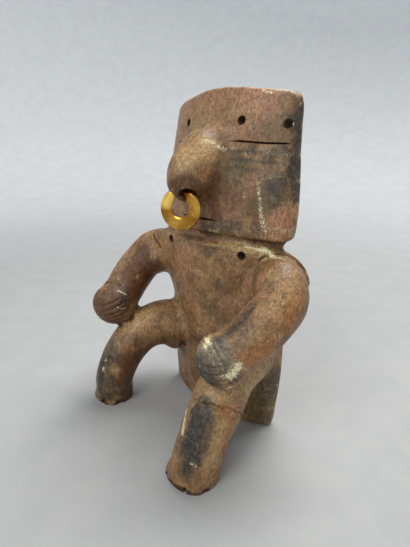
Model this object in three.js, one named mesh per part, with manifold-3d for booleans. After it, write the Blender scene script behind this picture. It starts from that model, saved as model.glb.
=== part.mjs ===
// Seated clay figure with a ring in its nose, in millimetres.
// The figure's front is -Y, its left hand is +X, and Z is up.
// The origin is the middle of the seat's flat underside, on the ground.
import * as THREE from 'three';
import { mergeVertices } from 'three/addons/utils/BufferGeometryUtils.js';
import Module from 'manifold-3d';

const wasm = await Module();
wasm.setup();

// Driving dimensions of the curved slab that is seat, torso and head
const seatHalfWidth = 57.5;
const hipHeight = 60;
const shoulderHalfWidth = 72.5;
const shoulderHeight = 126;
const torsoTop = 148.5;
const jawHeight = 155;
const headTop = 255;
const headCrown = 6;
const crownFall = 3;
const jawSag = 2.5;
const jawHalfWidth = 66.6;
const crownHalfWidth = 61;
const seatCurveRadius = 108;
const chestCurveRadius = 88;
const rightChestCurveRadius = 240;
const rightChestFrom = 85;
const rightChestTo = 135;
const headCurveRadius = 110;
const seatFront = -17;
const chestFront = -27.5;
const jawFront = -26.5;
const headLean = 0.18;
const neckInset = 6;
const neckBehindJaw = 3;
const rightNeckDrawnIn = 0.12;
const torsoMiddleThickness = 24;
const neckMiddleThickness = 12.5;
const neckEdgeThickness = 10;
const headMiddleThickness = 17;
const jawEdgeThickness = 14.5;
const crownEdgeThickness = 11;
const seatEdgeThickness = 9.5;
const hipFullness = 10;
const slabEdgeRadius = 4.5;

// Driving dimensions of the details
const pierceRadius = 2.9;
const slitHeight = 1.3;
const slitDepth = 2.6;
const slitEndHeight = 0.25;
const slitEndRise = 4.5;
const toeNotchRadius = 1.9;
const toeNotchTip = 0.3;
const toeNotchLength = 9;
const toeNotchHeight = 1.5;
const toeNotchTurns = [-52, -18, 18, 52];
const nostrilAside = 8.5;
const nostrilForward = 0.6;
const nostrilDrop = 3.4;
const nostrilSize = [6.6, 8, 7.6];
const noseRootDepth = 4;
const noseBackDepth = 6;

// Driving dimensions of the nose ring
const ringOuterRadius = 15.5;
const ringInnerRadius = 6.4;
const ringHoleLift = 1;
const ringThickness = 3.4;
const ringTurn = THREE.MathUtils.degToRad(27);
const ringCentre = new THREE.Vector3(-0.3, -39.9, 172.2);
const ringWireRadius = 1.15;
const ringWireOrbit = 12.3;
const ringSlit = THREE.MathUtils.degToRad(3);
const septumRadius = 2.5;
const septumLength = 26;

const tau = Math.PI * 2;
const weld = 0.01;
const groundWidth = 300;
const groundDepth = 30;
const slabSides = 38;
const limbSides = 16;

const clay = new THREE.MeshStandardMaterial({ color: 0x9a6a4b, roughness: 0.75, metalness: 0 });
const gold = new THREE.MeshStandardMaterial({ color: 0xd9a136, roughness: 0.25, metalness: 1 });

// A closed skin around a run of sections. place(turn, rise, isRim) gives the
// point at a share of the way round and a share of the way up; where isRim is
// false it gives the middle of an end.
function skin(around, along, place) {
  const geometry = new THREE.CylinderGeometry(1, 1, 1, around, along);
  const spots = geometry.attributes.position;
  for (let i = 0; i < spots.count; i += 1) {
    const angle = Math.atan2(spots.getX(i), spots.getZ(i));
    const turn = (Math.round((angle / tau + 1) * around) % around) / around;
    const isRim = Math.hypot(spots.getX(i), spots.getZ(i)) > 0.5;
    const point = place(turn, spots.getY(i) + 0.5, isRim);
    spots.setXYZ(i, point.x, point.y, point.z);
  }
  return geometry;
}

// Closed three.js geometry to a solid that can be joined and cut
function solidOf(geometry) {
  const bare = geometry.clone();
  bare.deleteAttribute('normal');
  bare.deleteAttribute('uv');
  const merged = mergeVertices(bare, 1e-4);
  return new wasm.Manifold(new wasm.Mesh({
    numProp: 3,
    vertProperties: new Float32Array(merged.attributes.position.array),
    triVerts: new Uint32Array(merged.index.array),
  }));
}

// Solid back to geometry, with corners closer than the weld made one
function geometryOf(solid) {
  const mesh = solid.getMesh();
  const geometry = new THREE.BufferGeometry();
  geometry.setAttribute('position', new THREE.BufferAttribute(new Float32Array(mesh.vertProperties), 3));
  geometry.setIndex(new THREE.BufferAttribute(new Uint32Array(mesh.triVerts), 1));
  const welded = mergeVertices(geometry, weld);
  const corners = welded.index.array;
  const kept = [];
  for (let i = 0; i < corners.length; i += 3) {
    const [a, b, c] = corners.slice(i, i + 3);
    if (a !== b && b !== c && c !== a) {
      kept.push(a, b, c);
    }
  }
  welded.setIndex(kept);
  welded.computeVertexNormals();
  return welded;
}

function namedMesh(name, geometry, material) {
  const mesh = new THREE.Mesh(geometry, material);
  mesh.name = name;
  return mesh;
}

// Depth of the slab's bowed front at a distance from the middle
function bow(x, radius) {
  return radius - Math.sqrt(radius * radius - x * x);
}

// The bow's radius: tighter up the torso, but almost flat at the top of its right half
function torsoCurveRadius(x, z) {
  const usual = THREE.MathUtils.mapLinear(Math.min(z, 100), 0, 100, seatCurveRadius, chestCurveRadius);
  const flat = x < 0 ? THREE.MathUtils.smoothstep(z, rightChestFrom, rightChestTo) : 0;
  return 1 / THREE.MathUtils.lerp(1 / usual, 1 / rightChestCurveRadius, flat);
}

function torsoFront(x, z) {
  const middle = THREE.MathUtils.mapLinear(z, 0, torsoTop, seatFront, chestFront);
  return middle + bow(x, torsoCurveRadius(x, z));
}

function headFront(x, z) {
  return jawFront + headLean * (z - jawHeight) + bow(x, headCurveRadius);
}

// Rounded rectangle seen from above, counter-clockwise from its front middle
function slabSection(halfWidth, thickness, edgeRadius) {
  const shape = new THREE.Shape();
  const corner = Math.min(edgeRadius, thickness / 2 - 0.01);
  const inner = halfWidth - corner;
  shape.moveTo(0, 0);
  shape.lineTo(inner, 0);
  shape.absarc(inner, corner, corner, -Math.PI / 2, 0);
  shape.absarc(inner, thickness - corner, corner, 0, Math.PI / 2);
  shape.lineTo(-inner, thickness);
  shape.absarc(-inner, thickness - corner, corner, Math.PI / 2, Math.PI);
  shape.absarc(-inner, corner, corner, Math.PI, Math.PI * 1.5);
  shape.closePath();
  return shape.getSpacedPoints(slabSides);
}

// Points along an outline, closer together towards its two ends
function endedPoints(outline, rows) {
  const crowding = 0.7;
  return Array.from({ length: rows + 1 }, (unused, row) => {
    const share = row / rows;
    return outline.getPointAt(share - (crowding * Math.sin(tau * share)) / tau);
  });
}

// Slab whose edge follows an outline of half width against height. Its
// sections are bowed like front(x, z) and thicker in the middle than at the
// edges, and its two ends are rounded. Towards its sides the top falls by the
// crown and the bottom by the sag, and the top falls further on the right. The
// right half is narrower by the share drawn in.
function bowedSlab({
  outline, rows, front, edge, middle, edgeRadius, endRadius, crown, rightFall, sag, rightDrawnIn,
}) {
  const stations = endedPoints(outline, rows);
  const bottom = stations[0].y;
  const top = stations[rows].y;
  const sections = stations.map(({ x, y }) => {
    const fromEnd = Math.min(y - bottom, top - y, endRadius);
    const drawnIn = endRadius - Math.sqrt(endRadius ** 2 - (endRadius - fromEnd) ** 2);
    const thickness = edge(y) - 2 * drawnIn;
    return { halfWidth: x - drawnIn, drawnIn, points: slabSection(x - drawnIn, thickness, edgeRadius) };
  });
  return skin(slabSides, rows, (turn, rise, isRim) => {
    const row = Math.round(rise * rows);
    const z = stations[row].y;
    const { halfWidth, drawnIn, points } = sections[row];
    const point = isRim ? points[Math.round(turn * slabSides)] : new THREE.Vector2(0, edge(z) / 2);
    const share = Math.min(Math.abs(point.x) / halfWidth, 1);
    const isBack = point.y > (edge(z) - 2 * drawnIn) / 2;
    const extra = isBack ? (middle - edge(z)) * (1 - share ** 2) : 0;
    const height = (z - bottom) / (top - bottom);
    const sideways = (point.x / crownHalfWidth) ** 2;
    const topDrop = crown * sideways + rightFall * THREE.MathUtils.smoothstep(-point.x, -8, 36);
    const drop = topDrop * height ** 4 + sag * sideways ** 2 * (1 - height) ** 8;
    const x = point.x < 0 ? point.x * (1 - rightDrawnIn) : point.x;
    return new THREE.Vector3(x, front(x, z) + drawnIn + point.y + extra, z - drop);
  });
}

// Thickness of the torso's side edges: thin at the seat's foot, full at the hips
function hipThickness(z) {
  return seatEdgeThickness + hipFullness * Math.sin(Math.PI * Math.min(z / (hipHeight * 2.2), 1));
}

function torso() {
  const outline = new THREE.SplineCurve([
    new THREE.Vector2(seatHalfWidth - 0.5, 0),
    new THREE.Vector2(seatHalfWidth, hipHeight / 2),
    new THREE.Vector2(seatHalfWidth, hipHeight),
    new THREE.Vector2(seatHalfWidth + 1, 80),
    new THREE.Vector2(62.5, 95),
    new THREE.Vector2(68.5, 107),
    new THREE.Vector2(71.8, 117),
    new THREE.Vector2(shoulderHalfWidth, shoulderHeight),
    new THREE.Vector2(69.5, 137),
    new THREE.Vector2(62.5, 145),
    new THREE.Vector2(54, torsoTop),
  ]);
  return bowedSlab({
    outline,
    rows: 18,
    front: torsoFront,
    edge: hipThickness,
    middle: torsoMiddleThickness,
    edgeRadius: slabEdgeRadius,
    endRadius: 1.2,
    crown: 0,
    rightFall: 0,
    sag: 0,
    rightDrawnIn: 0,
  });
}

function neck() {
  const front = (x, z) => Math.max(torsoFront(x, z) + neckInset, headFront(x, jawHeight) + neckBehindJaw);
  const outline = new THREE.SplineCurve([
    new THREE.Vector2(56.6, 136.4),
    new THREE.Vector2(57.4, 147),
    new THREE.Vector2(60.6, 153.5),
    new THREE.Vector2(61, 166),
  ]);
  return bowedSlab({
    outline,
    rows: 6,
    front,
    edge: () => neckEdgeThickness,
    middle: neckMiddleThickness,
    edgeRadius: 4,
    endRadius: 0.01,
    crown: 0,
    rightFall: 0,
    sag: 0,
    rightDrawnIn: rightNeckDrawnIn,
  });
}

// Thickness of the head's side edges: fuller at the jaw than at the crown
function cheekThickness(z) {
  return THREE.MathUtils.mapLinear(z, jawHeight, headTop, jawEdgeThickness, crownEdgeThickness);
}

function head() {
  const outline = new THREE.SplineCurve([
    new THREE.Vector2(jawHalfWidth - 3.6, jawHeight),
    new THREE.Vector2(jawHalfWidth - 1.1, jawHeight + 1.6),
    new THREE.Vector2(jawHalfWidth, jawHeight + 7),
    new THREE.Vector2(jawHalfWidth - 0.3, 178),
    new THREE.Vector2(64.4, 200),
    new THREE.Vector2(62.4, 220),
    new THREE.Vector2(crownHalfWidth, 240),
    new THREE.Vector2(crownHalfWidth - 1, headTop - 7.5),
    new THREE.Vector2(crownHalfWidth - 2.5, headTop - 2.5),
    new THREE.Vector2(crownHalfWidth - 4.5, headTop),
  ]);
  return bowedSlab({
    outline,
    rows: 16,
    front: headFront,
    edge: cheekThickness,
    middle: headMiddleThickness,
    edgeRadius: slabEdgeRadius,
    endRadius: 2.2,
    crown: headCrown,
    rightFall: crownFall,
    sag: jawSag,
    rightDrawnIn: 0,
  });
}

// Round limb along a smooth line through stops of [x, y, z, radius], with
// domed ends where wanted
function limb({ stops, rows, domeStart, domeEnd }) {
  const line = new THREE.CatmullRomCurve3(stops.map(([x, y, z]) => new THREE.Vector3(x, y, z)));
  const girth = new THREE.SplineCurve(stops.map((stop, i) => new THREE.Vector2(i, stop[3])));
  const frames = line.computeFrenetFrames(rows);
  const domeRows = 3;
  return skin(limbSides, rows + 2 * domeRows, (turn, rise, isRim) => {
    const step = Math.round(rise * (rows + 2 * domeRows)) - domeRows;
    const row = THREE.MathUtils.clamp(step, 0, rows);
    const past = (step - row) / domeRows;
    const dome = past < 0 ? domeStart : domeEnd;
    const radius = girth.getPoint(line.getUtoTmapping(row / rows)).y;
    const reach = isRim ? radius * Math.cos((past * Math.PI) / 2) ** (dome > 0.5 ? 1 : 0.4) : 0;
    const onward = radius * dome * Math.sin((past * Math.PI) / 2);
    const angle = turn * tau;
    return line.getPointAt(row / rows)
      .addScaledVector(frames.tangents[row], onward)
      .addScaledVector(frames.normals[row], reach * Math.cos(angle))
      .addScaledVector(frames.binormals[row], reach * Math.sin(angle));
  });
}

function arm(side) {
  return limb({
    stops: [
      [side * 61, -5, 126, 17],
      [side * 69.5, -11.5, 126, 18],
      [side * 77, -19.5, 117, 17.6],
      [side * 75, -36, 104.5, 17.6],
      [side * 69.5, -51, 92.5, 16.8],
      [side * 65.2, -62, 86.8, 18.4],
    ],
    rows: 13,
    domeStart: 0.3,
    domeEnd: 0.88,
  });
}

// Clay that spreads from the right arm over the flat of the chest
function rightArmRoot() {
  return limb({
    stops: [
      [-49, -11, 125, 11.5],
      [-57, -14, 123, 14],
      [-66, -17, 120, 16],
    ],
    rows: 4,
    domeStart: 0.9,
    domeEnd: 0.5,
  });
}

// The two legs differ a little: the right foot is drawn back and set outward
const legStops = {
  left: [
    [33, -9, 61, 20],
    [38, -12, 64, 21],
    [48.5, -20, 68.5, 20.4],
    [52.8, -41, 62.5, 18.4],
    [56.6, -58.5, 46.5, 18.2],
    [56.7, -70, 27, 17.6],
    [55.2, -75.5, 9, 17.6],
    [54.6, -76, -4, 17.6],
  ],
  right: [
    [-32, -9, 57, 20],
    [-37, -13, 60.5, 21],
    [-46, -23, 65, 20.4],
    [-53.3, -42.7, 60, 18.2],
    [-57.8, -59.5, 43, 17.2],
    [-61, -68, 23, 16.4],
    [-65, -66.5, 8, 16.3],
    [-66, -66, -4, 16.3],
  ],
};

function leg(name) {
  return limb({ stops: legStops[name], rows: 17, domeStart: 0.15, domeEnd: 0.02 });
}

const feet = {
  left: { x: 53.5, y: -77.8, halfWidth: 19, halfLength: 15.6, height: 14 },
  right: { x: -66.6, y: -68.2, halfWidth: 17, halfLength: 14.2, height: 13 },
};

// Share of a circle's half width, pushed out towards a square
function squared(share) {
  const squareness = 0.78;
  return Math.sign(share) * Math.abs(share) ** squareness;
}

// Low round-cornered foot, flat below, that narrows upwards ever faster
function foot(name) {
  const { x, y, halfWidth, halfLength, height } = feet[name];
  const rows = 6;
  const topAngle = 1.3;
  const fullness = 0.45;
  return skin(24, rows, (turn, rise, isRim) => {
    const angle = turn * tau;
    const reach = isRim ? Math.cos(rise * topAngle) ** fullness : 0;
    return new THREE.Vector3(
      x + halfWidth * reach * squared(Math.sin(angle)),
      y - halfLength * reach * squared(Math.cos(angle)),
      height * rise,
    );
  });
}

// Notches between the toes, round the front of a foot
function toeNotches(name) {
  const { x, y, halfWidth, halfLength } = feet[name];
  const notch = new THREE.CylinderGeometry(toeNotchRadius * toeNotchTip, toeNotchRadius, toeNotchLength, 8);
  return toeNotchTurns.map((degrees) => {
    const angle = THREE.MathUtils.degToRad(degrees);
    return solidOf(notch.clone()
      .rotateX(Math.PI / 2)
      .translate(
        x + halfWidth * squared(Math.sin(angle)),
        y - halfLength * squared(Math.cos(angle)),
        toeNotchHeight,
      ));
  });
}

// Nose that grows out of the brow and hooks under at its tip: half width,
// front and height down its ridge
function nose() {
  const ridge = new THREE.CatmullRomCurve3([
    new THREE.Vector3(5, -19.5, 229),
    new THREE.Vector3(15, -29.5, 222.5),
    new THREE.Vector3(19.5, -40, 214),
    new THREE.Vector3(20.5, -46, 205.5),
    new THREE.Vector3(20.5, -48.6, 197),
    new THREE.Vector3(18, -48.8, 189),
    new THREE.Vector3(14, -46.5, 184),
    new THREE.Vector3(10, -42, 179.5),
    new THREE.Vector3(5, -33, 175),
  ]);
  const rows = 14;
  const stations = ridge.getSpacedPoints(rows);
  return skin(20, rows, (turn, rise, isRim) => {
    const { x: halfWidth, y: tip, z } = stations[rows - Math.round(rise * rows)];
    const angle = turn * tau;
    const share = isRim ? 1 : 0;
    const middle = headFront(0, z) + noseRootDepth;
    const reach = Math.cos(angle) > 0 ? middle - tip : noseBackDepth;
    return new THREE.Vector3(
      halfWidth * share * Math.sin(angle),
      middle - reach * share * Math.cos(angle),
      z,
    );
  });
}

// Round hole straight through a slab, square to its bowed front
function piercing(x, z, front, radius) {
  const slope = front(x + 0.5, z) - front(x - 0.5, z);
  const length = 80;
  return new THREE.CylinderGeometry(radius, radius * 0.92, length, 12)
    .rotateZ(Math.atan(slope))
    .translate(x, front(x, z), z);
}

// Thin cut that follows a bowed front from one x to another
function slit({ from, to, z, fall, front }) {
  const spans = 10;
  const blade = new THREE.BoxGeometry(1, 1, 1, spans, 1, 1);
  const spots = blade.attributes.position;
  for (let i = 0; i < spots.count; i += 1) {
    const along = spots.getX(i) + 0.5;
    const x = THREE.MathUtils.lerp(from, to, along);
    const taper = Math.min(1, slitEndRise * Math.min(along, 1 - along) + slitEndHeight);
    const y = front(x, z) + (spots.getY(i) > 0 ? slitDepth * taper : -slitHeight);
    const level = z - fall * Math.abs(x);
    spots.setXYZ(i, x, y, level + spots.getZ(i) * slitHeight * taper);
  }
  return blade;
}

// Nostrils, and the channel between them that the ring hangs in
function nosePiercing() {
  const height = ringCentre.z + ringWireOrbit;
  const channel = new THREE.CylinderGeometry(septumRadius, septumRadius, septumLength, 10)
    .rotateZ(Math.PI / 2)
    .rotateZ(ringTurn)
    .translate(ringCentre.x, ringCentre.y, height);
  const nostrils = [-1, 1].map((side) => new THREE.SphereGeometry(1, 12, 8)
    .scale(...nostrilSize)
    .translate(side * nostrilAside, ringCentre.y - nostrilForward, height - nostrilDrop));
  return [channel, ...nostrils];
}

function clayFigure() {
  const parts = [
    torso(), neck(), head(), nose(), arm(1), arm(-1), rightArmRoot(),
    leg('left'), leg('right'), foot('left'), foot('right'),
  ];
  const cuts = [
    piercing(27.5, 232, headFront, pierceRadius),
    piercing(-27.5, 232, headFront, pierceRadius),
    piercing(57, 229.3, headFront, pierceRadius),
    piercing(-57, 229.3, headFront, pierceRadius),
    piercing(38.9, 141.8, torsoFront, pierceRadius),
    piercing(-31.5, 143.6, torsoFront, pierceRadius),
    slit({ from: 22, to: 62.8, z: 219.8, fall: 0.05, front: headFront }),
    slit({ from: -46, to: -25, z: 219.8, fall: 0.05, front: headFront }),
    slit({ from: -20, to: 20, z: 164.5, fall: 0, front: headFront }),
    ...nosePiercing(),
    new THREE.BoxGeometry(groundWidth, groundWidth, groundDepth).translate(0, 0, -groundDepth / 2),
  ].map(solidOf);
  const body = parts.map(solidOf).reduce((whole, piece) => whole.add(piece));
  const shaped = [...cuts, ...toeNotches('left'), ...toeNotches('right')]
    .reduce((whole, cut) => whole.subtract(cut), body);
  return namedMesh('clay_figure', geometryOf(shaped), clay);
}

// Open ring: a lens-shaped band, broadest below, that narrows to two wires
// meeting at the top
function noseRing() {
  const around = 36;
  const sides = 8;
  const geometry = skin(sides, around, (turn, rise, isRim) => {
    const fromTop = ringSlit + rise * (tau - 2 * ringSlit);
    const nearTop = Math.min(fromTop, tau - fromTop);
    const grown = THREE.MathUtils.smoothstep(nearTop, 0.25, 0.85);
    const inner = ringInnerRadius + ringHoleLift * Math.cos(fromTop);
    const halfBand = THREE.MathUtils.lerp(ringWireRadius, (ringOuterRadius - inner) / 2, grown);
    const halfThick = THREE.MathUtils.lerp(ringWireRadius, ringThickness / 2, grown);
    const orbit = THREE.MathUtils.lerp(ringWireOrbit, (ringOuterRadius + inner) / 2, grown);
    const angle = turn * tau;
    const radius = orbit + (isRim ? halfBand * Math.sin(angle) : 0);
    return new THREE.Vector3(
      radius * Math.sin(fromTop),
      isRim ? halfThick * Math.cos(angle) : 0,
      radius * Math.cos(fromTop),
    );
  });
  const mesh = namedMesh('nose_ring', geometryOf(solidOf(geometry)), gold);
  mesh.position.copy(ringCentre);
  mesh.rotation.z = ringTurn;
  return mesh;
}

const group = new THREE.Group();
group.add(clayFigure());
group.add(noseRing());

export default group;
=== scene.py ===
# Seated clay figure with a gold-coloured ring in its nose.
# The body is worked out as numpy surfaces in millimetres, fused into one skin, carved, stained and
# given a burnished clay finish. The front is -Y, the figure's left hand is +X and Z is up.
import bmesh
import bpy
import numpy as np
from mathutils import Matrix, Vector


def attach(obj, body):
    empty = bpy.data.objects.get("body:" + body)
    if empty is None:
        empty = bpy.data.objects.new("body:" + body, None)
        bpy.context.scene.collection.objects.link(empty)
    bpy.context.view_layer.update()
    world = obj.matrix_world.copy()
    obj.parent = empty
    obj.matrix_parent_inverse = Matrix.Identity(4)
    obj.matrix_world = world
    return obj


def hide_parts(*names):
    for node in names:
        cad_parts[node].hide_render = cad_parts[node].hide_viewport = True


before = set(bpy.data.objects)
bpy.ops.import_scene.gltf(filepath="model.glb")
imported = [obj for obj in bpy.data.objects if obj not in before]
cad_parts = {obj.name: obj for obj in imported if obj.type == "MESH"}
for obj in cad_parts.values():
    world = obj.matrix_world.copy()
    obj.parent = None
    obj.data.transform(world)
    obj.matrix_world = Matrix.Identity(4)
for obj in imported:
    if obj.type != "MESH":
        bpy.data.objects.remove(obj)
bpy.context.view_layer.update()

mm = 0.001
tau = 2 * np.pi
print("frame loaded")


def smoothStep(low, high, value):
    # cubic ease from 0 at low to 1 at high: 3s^2 - 2s^3
    share = np.clip((value - low) / (high - low), 0, 1)
    return share * share * (3 - 2 * share)


def splineThrough(stops, count):
    # cubic through the stops with each slope from its neighbours, then spaced evenly along its length
    stops = np.array(stops, float)
    padded = np.vstack([2 * stops[0] - stops[1], stops, 2 * stops[-1] - stops[-2]])
    place = np.linspace(0, len(stops) - 1, 600)
    first = np.minimum(place.astype(int), len(stops) - 2)
    f = (place - first)[:, None]
    p0, p1, p2, p3 = (padded[first + k] for k in range(4))
    dense = 0.5 * (2 * p1 + (p2 - p0) * f + (2 * p0 - 5 * p1 + 4 * p2 - p3) * f**2
                   + (3 * p1 - p0 - 3 * p2 + p3) * f**3)
    steps = np.linalg.norm(np.diff(dense[:, :3], axis=0), axis=1)
    run = np.concatenate([[0], np.cumsum(steps)])
    even = np.linspace(0, run[-1], count)
    return np.stack([np.interp(even, run, column) for column in dense.T], 1)


def sampleGrid(grid, places):
    # blends the eight grid corners round each place with the smooth step, wrapping at the grid's ends
    cell = np.floor(places).astype(int)
    f = smoothStep(0, 1, places - cell)
    total = np.zeros(len(places))
    for corner in np.ndindex(2, 2, 2):
        weight = np.prod(np.where(corner, f, 1 - f), axis=1)
        i, j, k = ((cell + corner) % grid.shape).T
        total += weight * grid[i, j, k]
    return total


def latticeNoise(points, size, seed):
    # random values from -1 to 1 on a lattice of the given cell size, blended between its corners
    lattice = np.random.default_rng(seed).uniform(-1, 1, (32, 32, 32))
    return sampleGrid(lattice, points / np.array(size, float))


def layeredNoise(points, layers, seed):
    # sum of noises, each of its own size and share, with seeds counted up
    return sum(share * latticeNoise(points, size, seed + k) for k, (size, share) in enumerate(layers))


# The slab that is seat, torso and head
slab = {
    "torsoTop": 148.5,
    "seatFront": -17,
    "chestFront": -27.5,
    "seatCurveRadius": 108,
    "chestCurveRadius": 88,
    "rightChestRadius": 240,     # the top of the chest's right half is almost flat
    "rightChestHeights": (85, 135),
    "torsoMiddle": 22.8,
    "jawHeight": 155,
    "headTop": 255,
    "jawFront": -26.5,
    "headLean": 0.18,
    "headCurveRadius": 110,
    "headMiddle": 17,
    "headCrown": 6,
    "crownFall": 3,              # how much further the crown falls on the figure's right
    "crownFallPlaces": (-8, 36),
    "jawSag": 2.5,
    "crownHalfWidth": 61,
    "headEdges": (14.5, 11),     # thickness of the head's sides at the jaw and at the crown
    "headEndRadius": 2,
    "neckInset": 6,
    "neckBehindJaw": 3,
    "neckEdge": 10,
    "neckMiddle": 12.5,
    "neckEndRadius": 0.01,
    "torsoEdge": 9.5,            # thickness of the torso's sides, and how much the hips add to it
    "hipSwell": 10,
    "hipSwellTop": 132,
    "torsoEndRadius": 2.8,
    "neckOutline": [(56.6, 136.4), (57.4, 147), (60.6, 153.5), (61, 166)],
    "torsoOutline": [(57, 0), (57.5, 30), (57.5, 60), (58.5, 80), (62.5, 95), (68.5, 107),
                     (71.8, 117), (72.5, 126), (69.5, 137), (62.5, 145), (54, 148.5)],
    "headOutline": [(63, 155), (65.5, 156.6), (66.6, 162), (66.3, 178), (64.4, 200), (62.4, 220),
                    (61, 240), (60, 247.5), (58.5, 252.5), (56.5, 255)],
}


def bow(x, radius):
    # depth of an arc of that radius at a distance from the middle
    return radius - np.sqrt(radius**2 - np.minimum(np.abs(x), radius * 0.99) ** 2)


def torsoFront(x, z):
    # the torso's middle leans forward towards the chest, and the sides bow back
    middle = np.interp(z, [0, slab["torsoTop"]], [slab["seatFront"], slab["chestFront"]])
    usual = np.interp(z, [0, 100], [slab["seatCurveRadius"], slab["chestCurveRadius"]])
    flat = np.where(x < 0, smoothStep(*slab["rightChestHeights"], z), 0)
    return middle + bow(x, 1 / ((1 - flat) / usual + flat / slab["rightChestRadius"]))


def headFront(x, z):
    # the head leans back by a fixed share of its height, and the sides bow back
    return slab["jawFront"] + slab["headLean"] * (z - slab["jawHeight"]) + bow(x, slab["headCurveRadius"])


def gridQuads(rows, around):
    # four corners for each cell of a grid that is closed round itself
    i, j = np.meshgrid(np.arange(rows - 1), np.arange(around), indexing="ij")
    after = (j + 1) % around
    lower, upper = i * around, (i + 1) * around
    return np.stack([lower + j, lower + after, upper + after, upper + j], -1).reshape(-1, 4)


def closedSkin(rings, firstPole, lastPole):
    # grid of rings x around, closed at both ends by a fan to its pole
    rows, around = rings.shape[:2]
    vertices = np.vstack([rings.reshape(-1, 3), firstPole, lastPole])
    start = np.arange(around)
    after = (start + 1) % around
    firstFan = np.stack([after, start, np.full(around, rows * around)], -1)
    last = (rows - 1) * around
    lastFan = np.stack([last + start, last + after, np.full(around, rows * around + 1)], -1)
    return vertices, gridQuads(rows, around).tolist() + firstFan.tolist() + lastFan.tolist()


def centred(rings):
    # the same with each pole in the middle of its end ring
    return closedSkin(rings, rings[0].mean(0), rings[-1].mean(0))


def turned(places, angle):
    # x cos - y sin, x sin + y cos: places turned about the vertical
    x, y, z = places[..., 0], places[..., 1], places[..., 2]
    return np.stack([x * np.cos(angle) - y * np.sin(angle), x * np.sin(angle) + y * np.cos(angle), z], -1)


def roundedSection(halfWidth, thickness, edgeRadius, around):
    # rectangle with corner arcs, evenly spaced, from its front middle towards +X
    r = min(edgeRadius, thickness / 2 - 0.01)
    corners = [(halfWidth - r, r, -0.25), (halfWidth - r, thickness - r, 0),
               (r - halfWidth, thickness - r, 0.25), (r - halfWidth, r, 0.5)]
    arc = np.linspace(0, 0.25, 13)
    bends = [np.stack([cx + r * np.cos(tau * (start + arc)), cy + r * np.sin(tau * (start + arc))], 1)
             for cx, cy, start in corners]
    loop = np.vstack([[(0, 0)], *bends, [(0, 0)]])
    run = np.concatenate([[0], np.cumsum(np.linalg.norm(np.diff(loop, axis=0), axis=1))])
    even = np.linspace(0, run[-1], around, endpoint=False)
    return np.stack([np.interp(even, run, loop[:, k]) for k in (0, 1)], 1)


def bowedSlab(outline, front, edge, middle, endRadius, drop, rows=70, around=150, edgeRadius=4.5):
    # rounded sections carried up an outline of half width against height: bowed like front(x, z),
    # thicker by (middle - edge)(1 - s^2) behind, ends drawn in on a quarter circle, lowered by drop
    share = np.linspace(0, 1, rows)
    crowded = share - 0.11 * np.sin(tau * share)    # rings lie closer together near both ends
    stations = splineThrough(outline, 400)[np.round(crowded * 399).astype(int)]
    bottom, top = stations[0, 1], stations[-1, 1]
    rings = np.zeros((rows, around, 3))
    for row, (reach, z) in enumerate(stations):
        fromEnd = min(z - bottom, top - z, endRadius)
        drawnIn = endRadius - np.sqrt(endRadius**2 - (endRadius - fromEnd) ** 2)
        thickness = edge(z) - 2 * drawnIn
        x, y = roundedSection(reach - drawnIn, thickness, edgeRadius, around).T
        side = np.minimum(np.abs(x) / (reach - drawnIn), 1)
        behind = smoothStep(0.3, 0.7, y / thickness)
        depth = front(x, z) + drawnIn + y + behind * (middle - edge(z)) * (1 - side**2)
        rings[row] = np.stack([x, depth, z - drop(x, (z - bottom) / (top - bottom))], 1)
    return centred(rings)


def noDrop(x, height):
    # nothing is lowered
    return 0 * x


def torsoSkin():
    # the sides are thin at the foot and the shoulders and swell between them by half a sine wave
    def edge(z):
        return slab["torsoEdge"] + slab["hipSwell"] * np.sin(np.pi * min(z / slab["hipSwellTop"], 1))
    return bowedSlab(slab["torsoOutline"], torsoFront, edge, slab["torsoMiddle"], slab["torsoEndRadius"],
                     noDrop)


def neckSkin():
    # set back from the chest, and from the jaw where the chest is flat
    def front(x, z):
        behindJaw = headFront(x, slab["jawHeight"]) + slab["neckBehindJaw"]
        return np.maximum(torsoFront(x, z) + slab["neckInset"], behindJaw)

    def edge(z):
        # the same thickness all the way up
        return slab["neckEdge"]
    return bowedSlab(slab["neckOutline"], front, edge, slab["neckMiddle"], slab["neckEndRadius"], noDrop,
                     rows=16, edgeRadius=4)


def headSkin():
    # the sides thin evenly from jaw to crown
    def edge(z):
        return np.interp(z, [slab["jawHeight"], slab["headTop"]], slab["headEdges"])

    def drop(x, height):
        # the crown falls as x^2 and again on the right, the jaw sags as x^4
        across = (x / slab["crownHalfWidth"]) ** 2
        crown = slab["headCrown"] * across + slab["crownFall"] * smoothStep(*slab["crownFallPlaces"], -x)
        return crown * height**4 + slab["jawSag"] * across**2 * (1 - height) ** 8
    return bowedSlab(slab["headOutline"], headFront, edge, slab["headMiddle"], slab["headEndRadius"], drop)


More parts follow.
